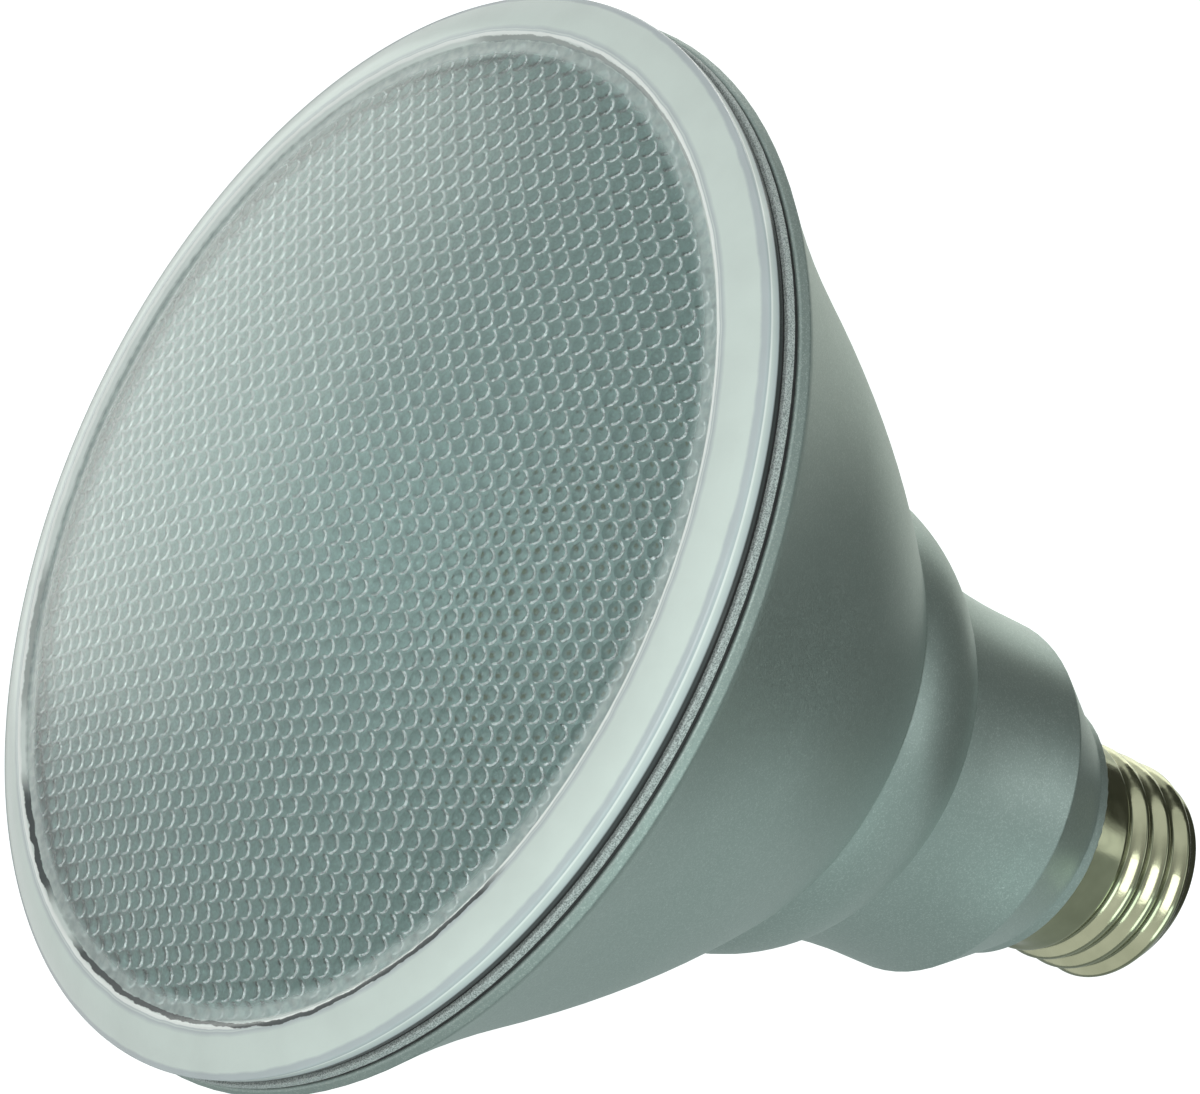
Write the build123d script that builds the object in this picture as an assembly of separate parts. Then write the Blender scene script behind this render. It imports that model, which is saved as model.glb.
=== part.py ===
from build123d import *
from math import cos, radians, sin, sqrt
import os

# A reflector lamp with a clear dimpled lens, a bell-shaped housing and a screw base.
# Millimetres. The lamp's axis is Z, the contact tip is at the origin and the lens faces up.

# Screw base
shell_radius = 13.2
shell_wall = 0.4
shell_length = 20.0
shell_curl_height = 2.0
shell_curl_depth = 2.0
shell_plain_band = 4.0
thread_depth = 1.0
contact_radius = 4.8
contact_thickness = 1.8
contact_crown = 0.7
contact_stem_radius = 1.7
contact_stem_top = 2.0
insulator_drop = 5.65
insulator_nose_margin = 0.8
insulator_flange_height = 2.0
insulator_flange_step = 0.7
base_clearance = 0.15

# Housing, outside, from the collar up to the lip
neck_radius = 21.6
neck_height = 4.95
shoulder_round = 0.8
collar_taper = 5.75
collar_height = 11.4
collar_lip_height = 1.8
collar_lip_draft = 0.25
collar_fillet = 1.2
collar_edge_round = 0.4
neck_flare = 1.35
neck_flare_height = 13.7
ring_step = 5.71
ring_height = 14.3
ring_bulge = 1.5
ring_crease_round = 0.5
bowl_step = 18.77
bowl_height = 29.15
bowl_bulge = 0.9
bowl_crease_round = 0.8
lip_flare_height = 21.2
lip_height = 1.2
lip_overhang = 0.1
lip_draft = 0.3
lip_edge_round = 0.35

# Housing, inside
housing_wall = 2.2
lip_seat_width = 2.9
lip_bore_depth = 1.6
spigot_gap = 2.0
spigot_wall = 2.05
neck_bore_height = 8.5
cup_seat_rise = 1.45
cup_seat_width = 2.8
ledge_drop = 0.2
ledge_width = 2.7
sink_bore_wall = 1.63
boss_radius = 2.8
boss_length = 8.0
boss_inset = 2.45
boss_hole_radius = 1.05
boss_hole_depth = 6.5
boss_angles = (30, 150, 270)

# Heat sink, light source and its holder
sink_thickness = 3.0
sink_clearance = 0.15
screw_radius = 1.0
screw_head_radius = 2.1
screw_head_height = 1.6
screw_length = 8.0
screw_clearance = 0.25
pad_thickness = 0.3
source_width = 19.0
substrate_thickness = 1.0
phosphor_radius = 7.0
phosphor_height = 0.5
holder_radius = 17.5
holder_height = 3.4
holder_window_margin = 1.2
holder_clearance = 0.2
holder_screw_inset = 3.5
holder_screw_length = 2.4

# Reflector and lens
front_radius = 60.3
reflector_throat_margin = 1.8
reflector_seat_width = 2.0
reflector_seat_thickness = 0.8
reflector_setback = 1.8
reflector_wall = 0.9
reflector_ring_width = 1.0
reflector_ring_depth = 1.2
reflector_clearance = 0.2
seal_thickness = 0.5
seal_recess = 0.35
flange_setback = 0.3
flange_thickness = 1.0
flange_edge_round = 0.2
gasket_thickness = 0.5
gasket_recess = 0.25
lens_draft = 0.6
lens_edge_height = 2.45
lens_edge_round = 0.4
lens_band_width = 5.3
lens_band_rise = 2.0
lens_band_bulge = 0.4
lens_groove_width = 0.6
lens_groove_depth = 0.6
lens_groove_wall = 0.6
lens_dome_rise = 6.0
lens_thickness = 2.6
lens_skirt_width = 2.3
lens_back_margin = 1.9

# Driver
cup_clearance = 0.2
cup_wall = 1.0
cup_floor = 1.2
cup_height = 21.5
cup_hole_radius = 8.0
rail_width = 1.2
rail_depth = 1.6
board_thickness = 1.6
board_height = 27.0
board_clearance = 0.15
part_headroom = 1.9
core_width = 13.0
core_height = 12.0
core_web = 2.6
core_place = (-5.0, 12.5)
winding_clearance = 0.2
capacitor_radius = 4.0
capacitor_groove = 0.35
capacitor_place = (7.4, 9.0)
filter_width = 9.0
filter_height = 4.5
filter_depth = 8.0
filter_place = (-4.5, 21.5)
choke_radius = 3.6
choke_length = 7.5
choke_waist = 1.1
choke_flange = 1.2
choke_place = (7.2, 18.0)
rectifier_width = 5.0
rectifier_height = 4.0
rectifier_depth = 1.8
rectifier_place = (-7.0, 9.0)
chip_width = 5.0
chip_height = 4.0
chip_depth = 1.5
chip_place = (5.0, 17.0)
leg_width = 0.5
leg_reach = 1.0
leg_height = 0.3
led_wire_radius = 0.6
led_wire_bend = 1.6
led_wire_spacing = 3.2
led_wire_reach = 2.83
led_wire_drop = 1.2
led_wire_height = 1.7
led_wire_hole_radius = 1.1
lead_radius = 0.45
fuse_radius = 1.7
fuse_length = 8.0
fuse_cap_length = 1.6
fuse_waist = 0.25
fuse_gap = 5.0
neutral_offset = 6.0
neutral_bend = 1.6

# Heights along the axis, added up from the contact tip
shell_end_z = insulator_drop
curl_z = shell_end_z + shell_curl_height
insulator_z = curl_z + insulator_flange_height
contact_stem_z = insulator_z + contact_stem_top
fuse_z = contact_stem_z + fuse_gap
collar_z = shell_end_z + shell_length
spigot_z = insulator_z + spigot_gap
collar_lip_z = collar_z + collar_lip_height
shoulder_z = collar_z + collar_height
neck_high_z = shoulder_z + neck_height
ring_low_z = neck_high_z + neck_flare_height
ring_high_z = ring_low_z + ring_height
bowl_z = ring_high_z + bowl_height
lip_flare_z = bowl_z + lip_flare_height
lip_z = lip_flare_z + lip_height
flange_low_z = lip_z + seal_thickness
flange_z = flange_low_z + flange_thickness
lens_z = flange_z + gasket_thickness
lens_rim_z = lens_z + lens_edge_height
lens_band_z = lens_rim_z + lens_band_rise
lens_groove_z = lens_band_z - lens_groove_depth
lens_apex_z = lens_groove_z + lens_dome_rise
ledge_z = ring_high_z - ledge_drop
sink_z = ledge_z + sink_thickness
pad_z = sink_z + pad_thickness
substrate_z = pad_z + substrate_thickness
holder_z = sink_z + holder_height
cup_seat_z = shoulder_z + cup_seat_rise
neck_bore_z = cup_seat_z + neck_bore_height
cup_floor_z = cup_seat_z + cup_floor
cup_top_z = cup_seat_z + cup_height
board_top_z = cup_floor_z + board_height

# Radii that follow from the steps, walls and clearances
shell_mouth_radius = shell_radius - shell_curl_depth
shell_bore_radius = shell_radius - shell_wall
spigot_seat_radius = shell_bore_radius - base_clearance
spigot_radius = spigot_seat_radius - thread_depth
spigot_bore_radius = spigot_radius - spigot_wall
collar_radius = neck_radius - collar_taper
collar_lip_radius = collar_radius + collar_lip_draft
ring_low_radius = neck_radius + neck_flare
ring_high_radius = ring_low_radius + ring_step
bowl_radius = ring_high_radius + bowl_step
lip_flare_radius = front_radius + lip_overhang
lip_radius = lip_flare_radius - lip_draft
lip_bore_radius = lip_radius - lip_seat_width
neck_bore_radius = neck_radius - housing_wall
sink_bore_radius = ring_high_radius - sink_bore_wall
ledge_inner_radius = sink_bore_radius - ledge_width
boss_circle_radius = ledge_inner_radius - boss_inset
sink_radius = sink_bore_radius - sink_clearance
holder_window_radius = phosphor_radius + holder_window_margin
holder_screw_circle_radius = holder_radius - holder_screw_inset
led_wire_circle_radius = ledge_inner_radius - led_wire_reach
flange_radius = front_radius - flange_setback
lens_back_radius = front_radius - lens_draft
lens_skirt_radius = lens_back_radius - lens_skirt_width
lens_band_inner_radius = front_radius - lens_band_width
lens_groove_radius = lens_band_inner_radius - lens_groove_wall
lens_dome_radius = lens_groove_radius - lens_groove_width
reflector_throat_radius = holder_window_radius + reflector_throat_margin
reflector_seat_radius = reflector_throat_radius + reflector_seat_width
reflector_mouth_radius = lens_dome_radius - reflector_setback
cup_radius = neck_bore_radius - cup_clearance
cup_bore_radius = cup_radius - cup_wall
board_width = 2 * sqrt((cup_bore_radius - board_clearance) ** 2 - (board_thickness / 2) ** 2)


def turned(*edges, rounds=()):
    """A solid turned about the lamp's axis, from (radius, height) edges with some corners rounded."""
    section = make_face(edges)
    for corner, radius in rounds:
        section = fillet(section.vertices().sort_by_distance(corner)[0], radius)
    return revolve(Plane.XZ * section, Axis.Z)


def post(radius, low, high, place=(0, 0)):
    """A round post along Z between two heights."""
    x, y = place
    bottom = Align.CENTER, Align.CENTER, Align.MIN
    return Pos(x, y, low) * Cylinder(radius, high - low, align=bottom)


def on_board(shape, place, side=1):
    """Stand a shape, drawn along +Z, on one face of the circuit board."""
    x, height = place
    face = Plane((x, side * board_thickness / 2, cup_floor_z + height), x_dir=(1, 0, 0), z_dir=(0, side, 0))
    return face * shape


def board_room(place, width):
    """Depth from the board's face to the cup's wall, less the headroom, for a part of that width."""
    reach = abs(place[0]) + width / 2
    return sqrt(cup_bore_radius ** 2 - reach ** 2) - board_thickness / 2 - part_headroom


def upright_box(width, height, depth):
    """A box that stands on its face, for parts soldered to the board."""
    return Box(width, height, depth, align=(Align.CENTER, Align.CENTER, Align.MIN))


def wire(radius, points, bend=0):
    """A round wire along straight runs joined by tangent bends."""
    path = FilletPolyline(*points, radius=bend) if bend else Polyline(*points)
    section = Plane(path @ 0, z_dir=path % 0) * Circle(radius)
    return sweep(section, path)


def on_circle(radius, angle):
    return radius * cos(radians(angle)), radius * sin(radians(angle))


# Screw shell: drawn sheet with a plain band at the top and its lower end rolled in
def screw_shell():
    mouth = shell_mouth_radius
    outer_curl = TangentArc((shell_radius, curl_z), (mouth, shell_end_z), tangent=(0, -1))
    inner_curl = TangentArc((shell_bore_radius, curl_z), (mouth, shell_end_z + shell_wall), tangent=(0, -1))
    end = Line((mouth, shell_end_z), (mouth, shell_end_z + shell_wall))
    outside = Line((shell_radius, curl_z), (shell_radius, collar_z))
    top = Line((shell_radius, collar_z), (shell_bore_radius, collar_z))
    inside = Line((shell_bore_radius, collar_z), (shell_bore_radius, curl_z))
    return turned(outer_curl, end, inner_curl, inside, top, outside)


# Base insulator: a black plug that fills the shell's mouth and tapers to the contact
def base_insulator():
    plug_radius = shell_mouth_radius - base_clearance
    flange_radius = plug_radius + insulator_flange_step
    hole = contact_stem_radius
    outline = Polyline(
        (hole, contact_thickness),
        (contact_radius + insulator_nose_margin, contact_thickness),
        (plug_radius, shell_end_z),
        (plug_radius, curl_z),
        (flange_radius, curl_z),
        (flange_radius, insulator_z),
        (hole, insulator_z),
        close=True,
    )
    return turned(outline)


# Centre contact: a crowned eyelet with a stem through the insulator
def centre_contact():
    crown = TangentArc((0, 0), (contact_radius, contact_crown), tangent=(1, 0))
    rest = Polyline(
        (contact_radius, contact_crown),
        (contact_radius, contact_thickness),
        (contact_stem_radius, contact_thickness),
        (contact_stem_radius, contact_stem_z),
        (0, contact_stem_z),
        (0, 0),
    )
    return turned(crown, rest)


# Housing: one casting, from the spigot in the shell to the lip under the reflector's flange
def housing():
    band_z = collar_z - shell_plain_band
    lip_floor_z = lip_z - lip_bore_depth
    collar = Polyline(
        (spigot_bore_radius, spigot_z),
        (spigot_radius, spigot_z),
        (spigot_radius, band_z),
        (spigot_seat_radius, band_z),
        (spigot_seat_radius, collar_z),
        (collar_radius, collar_z),
        (collar_lip_radius, collar_lip_z),
        (neck_radius, shoulder_z),
        (neck_radius, neck_high_z),
    )
    flare = TangentArc((neck_radius, neck_high_z), (ring_low_radius, ring_low_z), tangent=(0, 1))
    ring = SagittaArc((ring_low_radius, ring_low_z), (ring_high_radius, ring_high_z), -ring_bulge)
    bowl = SagittaArc((ring_high_radius, ring_high_z), (bowl_radius, bowl_z), -bowl_bulge)
    lip_flare = TangentArc((bowl_radius, bowl_z), (lip_flare_radius, lip_flare_z), tangent=bowl % 1)
    lip = Polyline(
        (lip_flare_radius, lip_flare_z),
        (lip_radius, lip_z),
        (lip_bore_radius, lip_z),
        (lip_bore_radius, lip_floor_z),
    )
    inner_bowl_radius = bowl_radius - housing_wall
    inner_flare = Line((lip_bore_radius, lip_floor_z), (inner_bowl_radius, bowl_z))
    inner_low = (sink_bore_radius, sink_z + sink_thickness)
    inner_bowl = SagittaArc((inner_bowl_radius, bowl_z), inner_low, bowl_bulge)
    inside = Polyline(
        inner_low,
        (sink_bore_radius, ledge_z),
        (ledge_inner_radius, ledge_z),
        (neck_bore_radius, neck_bore_z),
        (neck_bore_radius, cup_seat_z),
        (neck_bore_radius - cup_seat_width, cup_seat_z),
        (spigot_bore_radius, collar_z),
        (spigot_bore_radius, spigot_z),
    )
    rounds = (
        ((collar_radius, collar_z), collar_edge_round),
        ((collar_lip_radius, collar_lip_z), collar_fillet),
        ((neck_radius, shoulder_z), shoulder_round),
        ((ring_low_radius, ring_low_z), ring_crease_round),
        ((ring_high_radius, ring_high_z), bowl_crease_round),
        ((lip_flare_radius, lip_flare_z), lip_edge_round),
        ((lip_radius, lip_z), lip_edge_round),
    )
    outside = (collar, flare, ring, bowl, lip_flare, lip)
    body = turned(*outside, inner_flare, inner_bowl, inside, rounds=rounds)
    for angle in boss_angles:
        place = on_circle(boss_circle_radius, angle)
        body += post(boss_radius, ledge_z - boss_length, ledge_z, place)
        body -= post(boss_hole_radius, ledge_z - boss_hole_depth, ledge_z, place)
    return body


# Heat sink: a disc on the housing's ledge, bored for its screws, the holder's screws and the leads
def heat_sink():
    disc = post(sink_radius, ledge_z, sink_z)
    for angle in boss_angles:
        disc -= post(screw_radius + screw_clearance, ledge_z, sink_z, on_circle(boss_circle_radius, angle))
    for side in (-1, 1):
        disc -= post(boss_hole_radius, ledge_z, sink_z, (side * holder_screw_circle_radius, 0))
        place = (side * led_wire_spacing / 2, led_wire_circle_radius)
        disc -= post(led_wire_hole_radius, ledge_z, sink_z, place)
    return disc


def screw(head_z, length, place):
    """A pan-head screw with its head on a face at head_z."""
    shank = post(screw_radius, head_z - length, head_z, place)
    head = post(screw_head_radius, head_z, head_z + screw_head_height, place)
    return shank + head


def heat_sink_screws():
    return [screw(sink_z, screw_length, on_circle(boss_circle_radius, angle)) for angle in boss_angles]


def holder_screws():
    places = [(side * holder_screw_circle_radius, 0) for side in (-1, 1)]
    head_z = holder_z - screw_head_height
    return [screw(head_z, holder_screw_length + head_z - sink_z, place) for place in places]


# Light source: a square plate on its pad, with a round phosphor field
def source_plate(thickness, low):
    return Pos(0, 0, low) * upright_box(source_width, source_width, thickness)


def led_phosphor():
    return post(phosphor_radius, substrate_z, substrate_z + phosphor_height)


# Holder: a ring that clamps the source's edge and gives the reflector its seat
def led_holder():
    body = post(holder_radius, sink_z, holder_z)
    pocket = source_width + 2 * holder_clearance
    body -= Pos(0, 0, sink_z) * upright_box(pocket, pocket, substrate_z - sink_z)
    body -= post(holder_window_radius, sink_z, holder_z)
    head_z = holder_z - screw_head_height
    for side in (-1, 1):
        place = (side * holder_screw_circle_radius, 0)
        body -= post(screw_radius + screw_clearance, sink_z, holder_z, place)
        body -= post(screw_head_radius + screw_clearance, head_z, holder_z, place)
    return body


# Lip seal: a thin black ring on the housing's lip, under the reflector's flange
def lip_seal():
    outer = lip_radius - seal_recess
    return post(outer, lip_z, flange_low_z) - post(lip_bore_radius, lip_z, flange_low_z)


# Reflector: a parabola spun from sheet, with a flange between the housing's lip and the lens
def parabola(low, high):
    """The part of a parabola about the axis that joins two (radius, height) points."""
    low_radius, low_z = low
    high_radius, high_z = high
    slope = 2 * low_radius * (high_z - low_z) / (high_radius ** 2 - low_radius ** 2)
    middle = (low_radius + high_radius) / 2
    return Bezier(low, (middle, low_z + slope * (middle - low_radius)), high)


def reflector():
    seat_top_z = holder_z + reflector_seat_thickness
    ring_radius = lip_bore_radius - reflector_clearance
    ring_inner_radius = ring_radius - reflector_ring_width
    inner = parabola((reflector_throat_radius, seat_top_z), (reflector_mouth_radius, flange_z))
    outer_low = (reflector_seat_radius, seat_top_z)
    rise = (flange_low_z - seat_top_z) / (flange_z - seat_top_z)
    radius_squared = reflector_throat_radius ** 2 * (1 - rise) + reflector_mouth_radius ** 2 * rise
    outer_high = (sqrt(radius_squared) + reflector_wall, flange_low_z)
    outer = parabola(outer_low, outer_high)
    seat = Polyline(
        (reflector_throat_radius, seat_top_z),
        (reflector_throat_radius, holder_z),
        (reflector_seat_radius, holder_z),
        outer_low,
    )
    flange = Polyline(
        outer_high,
        (ring_inner_radius, flange_low_z),
        (ring_inner_radius, lip_z - reflector_ring_depth),
        (ring_radius, lip_z - reflector_ring_depth),
        (ring_radius, flange_low_z),
        (flange_radius, flange_low_z),
        (flange_radius, flange_z),
        (reflector_mouth_radius, flange_z),
    )
    rounds = [((flange_radius, z), flange_edge_round) for z in (flange_low_z, flange_z)]
    return turned(inner, seat, outer, flange, rounds=rounds)


# Gasket: a thin black ring under the lens skirt
def lens_gasket():
    outer = lens_back_radius - gasket_recess
    return post(outer, flange_z, lens_z) - post(lens_skirt_radius, flange_z, lens_z)


# Lens: a shallow dome inside a rounded rim band, parted by a groove, on a short skirt
def lens():
    dome_sphere = (lens_dome_radius ** 2 + lens_dome_rise ** 2) / (2 * lens_dome_rise)
    back_sphere = dome_sphere - lens_thickness
    back_edge_radius = lens_skirt_radius - lens_back_margin
    back_apex_z = lens_apex_z - lens_thickness
    back_edge_z = back_apex_z - back_sphere + sqrt(back_sphere ** 2 - back_edge_radius ** 2)
    front = TangentArc((0, lens_apex_z), (lens_dome_radius, lens_groove_z), tangent=(1, 0))
    back = TangentArc((0, back_apex_z), (back_edge_radius, back_edge_z), tangent=(1, 0))
    middle = Line((0, lens_apex_z), (0, back_apex_z))
    band_start = (front_radius, lens_rim_z)
    band_end = (lens_band_inner_radius, lens_band_z)
    band = SagittaArc(band_end, band_start, lens_band_bulge)
    groove = Polyline((lens_dome_radius, lens_groove_z), (lens_groove_radius, lens_groove_z), band_end)
    skirt = Polyline(
        band_start,
        (lens_back_radius, lens_z),
        (lens_skirt_radius, lens_z),
        (lens_skirt_radius, back_edge_z),
        (back_edge_radius, back_edge_z),
    )
    rounds = ((band_start, lens_edge_round), (band_end, lens_edge_round / 2))
    return turned(front, groove, band, skirt, back, middle, rounds=rounds)


# Driver cup: insulates the driver from the casting and guides the board in two pairs of rails
def driver_cup():
    cup = post(cup_radius, cup_seat_z, cup_top_z) - post(cup_bore_radius, cup_floor_z, cup_top_z)
    cup -= post(cup_hole_radius, cup_seat_z, cup_floor_z)
    rail_y = board_thickness / 2 + board_clearance + rail_width / 2
    reach = cup_bore_radius + cup_wall / 2
    rail = upright_box(rail_depth + cup_wall / 2, rail_width, cup_height - cup_floor)
    for side in (-1, 1):
        x = side * (reach - (rail_depth + cup_wall / 2) / 2)
        cup += Pos(x, rail_y, cup_floor_z) * rail
        cup += Pos(x, -rail_y, cup_floor_z) * rail
    return cup


def driver_board():
    return Pos(0, 0, cup_floor_z) * upright_box(board_width, board_thickness, board_height)


# Transformer: a ferrite frame round a wound bobbin
def transformer():
    core_depth = board_room(core_place, core_width)
    window_width = core_width - 2 * core_web
    window_height = core_height - 2 * core_web
    frame = upright_box(core_width, core_height, core_depth)
    frame -= upright_box(window_width, window_height, core_depth)
    winding_width = window_width - 2 * winding_clearance
    winding_height = window_height - 2 * winding_clearance
    winding = upright_box(winding_width, winding_height, core_depth)
    winding = fillet(winding.edges().filter_by(Axis.Z), core_web / 2)
    return on_board(frame, core_place), on_board(winding, core_place)


# Smoothing capacitor: an aluminium can with a rolled groove near its foot
def smoothing_capacitor():
    length = board_room(capacitor_place, 2 * capacitor_radius)
    groove = Pos(0, 0, length / 6) * Torus(capacitor_radius + capacitor_groove, 2 * capacitor_groove)
    return on_board(post(capacitor_radius, 0, length) - groove, capacitor_place)


def filter_capacitor():
    body = upright_box(filter_width, filter_height, filter_depth)
    return on_board(body, filter_place)


# Choke: a ferrite drum with a wound waist
def choke():
    drum = post(choke_radius, 0, choke_length)
    waist = post(choke_radius, choke_flange, choke_length - choke_flange)
    waist -= post(choke_radius - choke_waist, choke_flange, choke_length - choke_flange)
    return on_board(drum - waist, choke_place)


def chip(width, height, depth, place):
    """A moulded package with two gull-wing legs on each side, on the board's back face."""
    body = upright_box(width, height, depth)
    leg = upright_box(leg_reach, leg_width, leg_height)
    for side in (-1, 1):
        for row in (-1, 1):
            body += Pos(side * (width + leg_reach) / 2, row * height / 4, 0) * leg
    return on_board(body, place, side=-1)


# Leads from the board, through the heat sink, into the holder's side
def led_wires():
    low_z = board_top_z - led_wire_drop
    high_z = sink_z + led_wire_height
    wires = []
    for side in (-1, 1):
        x = side * led_wire_spacing / 2
        end_y = sqrt(holder_radius ** 2 - (abs(x) - led_wire_radius) ** 2)
        points = (
            (x, board_thickness / 2, low_z),
            (x, led_wire_circle_radius, low_z),
            (x, led_wire_circle_radius, high_z),
            (x, end_y, high_z),
        )
        wires.append(wire(led_wire_radius, points, led_wire_bend))
    return wires


# Supply: the contact feeds the board through a fuse resistor, the shell through a plain lead
def fuse_resistor():
    low = fuse_z + fuse_cap_length
    high = fuse_z + fuse_length - fuse_cap_length
    sleeve = post(fuse_radius, low, high) - post(fuse_radius - fuse_waist, low, high)
    return post(fuse_radius, fuse_z, fuse_z + fuse_length) - sleeve


def line_wire():
    return [
        post(lead_radius, contact_stem_z, fuse_z),
        post(lead_radius, fuse_z + fuse_length, cup_floor_z),
    ]


def neutral_wire():
    turn_z = (insulator_z + spigot_z) / 2
    points = (
        (neutral_offset, 0, cup_floor_z),
        (neutral_offset, 0, turn_z),
        (shell_bore_radius - base_clearance, 0, turn_z),
    )
    return wire(lead_radius, points, neutral_bend)


frame, winding = transformer()
nodes = {
    "screw_shell": screw_shell(),
    "base_insulator": base_insulator(),
    "centre_contact": centre_contact(),
    "housing": housing(),
    "heat_sink": heat_sink(),
    "heat_sink_screws": heat_sink_screws(),
    "thermal_pad": source_plate(pad_thickness, sink_z),
    "led_substrate": source_plate(substrate_thickness, pad_z),
    "led_phosphor": led_phosphor(),
    "led_holder": led_holder(),
    "holder_screws": holder_screws(),
    "lip_seal": lip_seal(),
    "reflector": reflector(),
    "lens_gasket": lens_gasket(),
    "lens": lens(),
    "driver_cup": driver_cup(),
    "driver_board": driver_board(),
    "transformer_core": frame,
    "transformer_winding": winding,
    "smoothing_capacitor": smoothing_capacitor(),
    "filter_capacitor": filter_capacitor(),
    "choke": choke(),
    "bridge_rectifier": chip(rectifier_width, rectifier_height, rectifier_depth, rectifier_place),
    "control_chip": chip(chip_width, chip_height, chip_depth, chip_place),
    "led_wires": led_wires(),
    "fuse_resistor": fuse_resistor(),
    "line_wire": line_wire(),
    "neutral_wire": neutral_wire(),
}

os.makedirs("parts", exist_ok=True)
for name, shape in nodes.items():
    solid = Compound(children=shape) if isinstance(shape, list) else shape
    export_step(solid, f"parts/{name}.step")
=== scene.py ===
import math

import bmesh
import bpy
from mathutils import Matrix, Vector


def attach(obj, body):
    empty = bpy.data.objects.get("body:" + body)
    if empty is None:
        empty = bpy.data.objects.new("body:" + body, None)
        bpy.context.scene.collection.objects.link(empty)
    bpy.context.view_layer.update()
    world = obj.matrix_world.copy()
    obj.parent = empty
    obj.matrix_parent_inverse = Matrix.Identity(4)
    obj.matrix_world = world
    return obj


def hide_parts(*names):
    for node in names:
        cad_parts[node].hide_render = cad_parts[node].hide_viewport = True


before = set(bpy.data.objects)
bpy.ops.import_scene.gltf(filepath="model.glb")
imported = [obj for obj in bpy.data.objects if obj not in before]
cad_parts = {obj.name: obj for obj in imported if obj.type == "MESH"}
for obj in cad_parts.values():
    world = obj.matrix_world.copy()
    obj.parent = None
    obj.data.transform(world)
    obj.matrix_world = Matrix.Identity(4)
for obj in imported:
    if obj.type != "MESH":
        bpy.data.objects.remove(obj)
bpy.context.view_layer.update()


# Screw shell
# A cup of nickel-plated brass sheet with a rolled knuckle thread and a curled-in end.
# It is pressed over the housing's spigot and grips the black insulator in its mouth.
mm = 0.001


def add(tree, kind, inputs=None, **settings):
    """A node in a tree. Its inputs, by name or number, take other nodes' sockets or values."""
    node = tree.nodes.new(kind)
    for key, value in settings.items():
        setattr(node, key, value)
    for key, value in (inputs or {}).items():
        if isinstance(value, bpy.types.NodeSocket):
            tree.links.new(value, node.inputs[key])
        else:
            node.inputs[key].default_value = value
    return node


def sums(tree, operation, *values):
    """The result of one sum in a tree."""
    return add(tree, "ShaderNodeMath", dict(enumerate(values)), operation=operation).outputs[0]


def material(name):
    """A new material, with its tree and its surface node."""
    made = bpy.data.materials.new(name)
    made.use_nodes = True
    return made, made.node_tree, made.node_tree.nodes["Principled BSDF"]


def noise(tree, scale, detail=2.0, stretch=(1, 1, 1)):
    """A noise over the piece's own coordinates, from 0 to 1, with its size in cells a metre."""
    place = add(tree, "ShaderNodeTexCoord").outputs["Object"]
    place = add(tree, "ShaderNodeMapping", {"Vector": place, "Scale": stretch}).outputs[0]
    return add(tree, "ShaderNodeTexNoise", {"Vector": place, "Scale": scale, "Detail": detail}).outputs[0]


def spread(tree, value, low, high, out_low=0.0, out_high=1.0):
    """A value carried from one span to another, held at the ends."""
    inputs = {"Value": value, 1: low, 2: high, 3: out_low, 4: out_high}
    return add(tree, "ShaderNodeMapRange", inputs).outputs[0]


def blend(tree, share, first, second):
    """A colour between two, by a share."""
    node = add(tree, "ShaderNodeMix", data_type="RGBA")
    for socket, value in ((node.inputs[0], share), (node.inputs[6], first), (node.inputs[7], second)):
        if isinstance(value, bpy.types.NodeSocket):
            tree.links.new(value, socket)
        else:
            socket.default_value = (*value, 1)
    return node.outputs[2]


def bump(tree, surface, height, depth):
    """Gives a surface the relief of a height, as deep as depth."""
    node = add(tree, "ShaderNodeBump", {"Height": height, "Distance": depth, "Strength": 1.0})
    tree.links.new(node.outputs[0], surface.inputs["Normal"])


def rule_tree(name, values):
    """A geometry tree with a named input for each value, and its first and last nodes."""
    tree = bpy.data.node_groups.new(name, "GeometryNodeTree")
    for key, value in values.items():
        kinds = {int: "NodeSocketInt", float: "NodeSocketFloat", bpy.types.Object: "NodeSocketObject"}
        tree.interface.new_socket(key, in_out="INPUT", socket_type=kinds[type(value)])
    tree.interface.new_socket("Mesh", in_out="OUTPUT", socket_type="NodeSocketGeometry")
    return tree, tree.nodes.new("NodeGroupInput").outputs, tree.nodes.new("NodeGroupOutput")


def made_by(tree, values, wall=0.0):
    """The plain mesh that a geometry tree makes of its values, with a wall grown inwards."""
    maker = bpy.data.objects.new("maker", bpy.data.meshes.new("maker"))
    bpy.context.scene.collection.objects.link(maker)
    rule = maker.modifiers.new("rule", "NODES")
    rule.node_group = tree
    for item in tree.interface.items_tree:
        if item.in_out == "INPUT":
            rule[item.identifier] = values[item.name]
    if wall:
        sheet = maker.modifiers.new("sheet", "SOLIDIFY")
        sheet.thickness = wall
        sheet.offset = -1
    graph = bpy.context.evaluated_depsgraph_get()
    mesh = bpy.data.meshes.new_from_object(maker.evaluated_get(graph), depsgraph=graph)
    maker.modifiers.clear()
    bpy.data.objects.remove(maker)
    return mesh


def piece(name, mesh, slot, *stands_for):
    """A mesh as a piece of the lamp, in place of CAD nodes if they are named."""
    made = bpy.data.objects.new(name, mesh)
    bpy.context.scene.collection.objects.link(made)
    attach(made, "root")
    if stands_for:
        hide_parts(*stands_for)


nickel, tree, surface = material("nickel_plate")
patches = spread(tree, noise(tree, 240.0, 3.0), 0.35, 0.68)
tint = blend(tree, patches, (0.335, 0.355, 0.237), (0.4, 0.42, 0.285))
tree.links.new(tint, surface.inputs["Base Color"])
surface.inputs["Metallic"].default_value = 1.0
rough = spread(tree, noise(tree, 700.0, 4.0), 0.3, 0.7, 0.13, 0.22)
tree.links.new(rough, surface.inputs["Roughness"])
bump(tree, surface, noise(tree, 900.0, 3.0, (1, 1, 0.3)), 0.00002)

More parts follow.
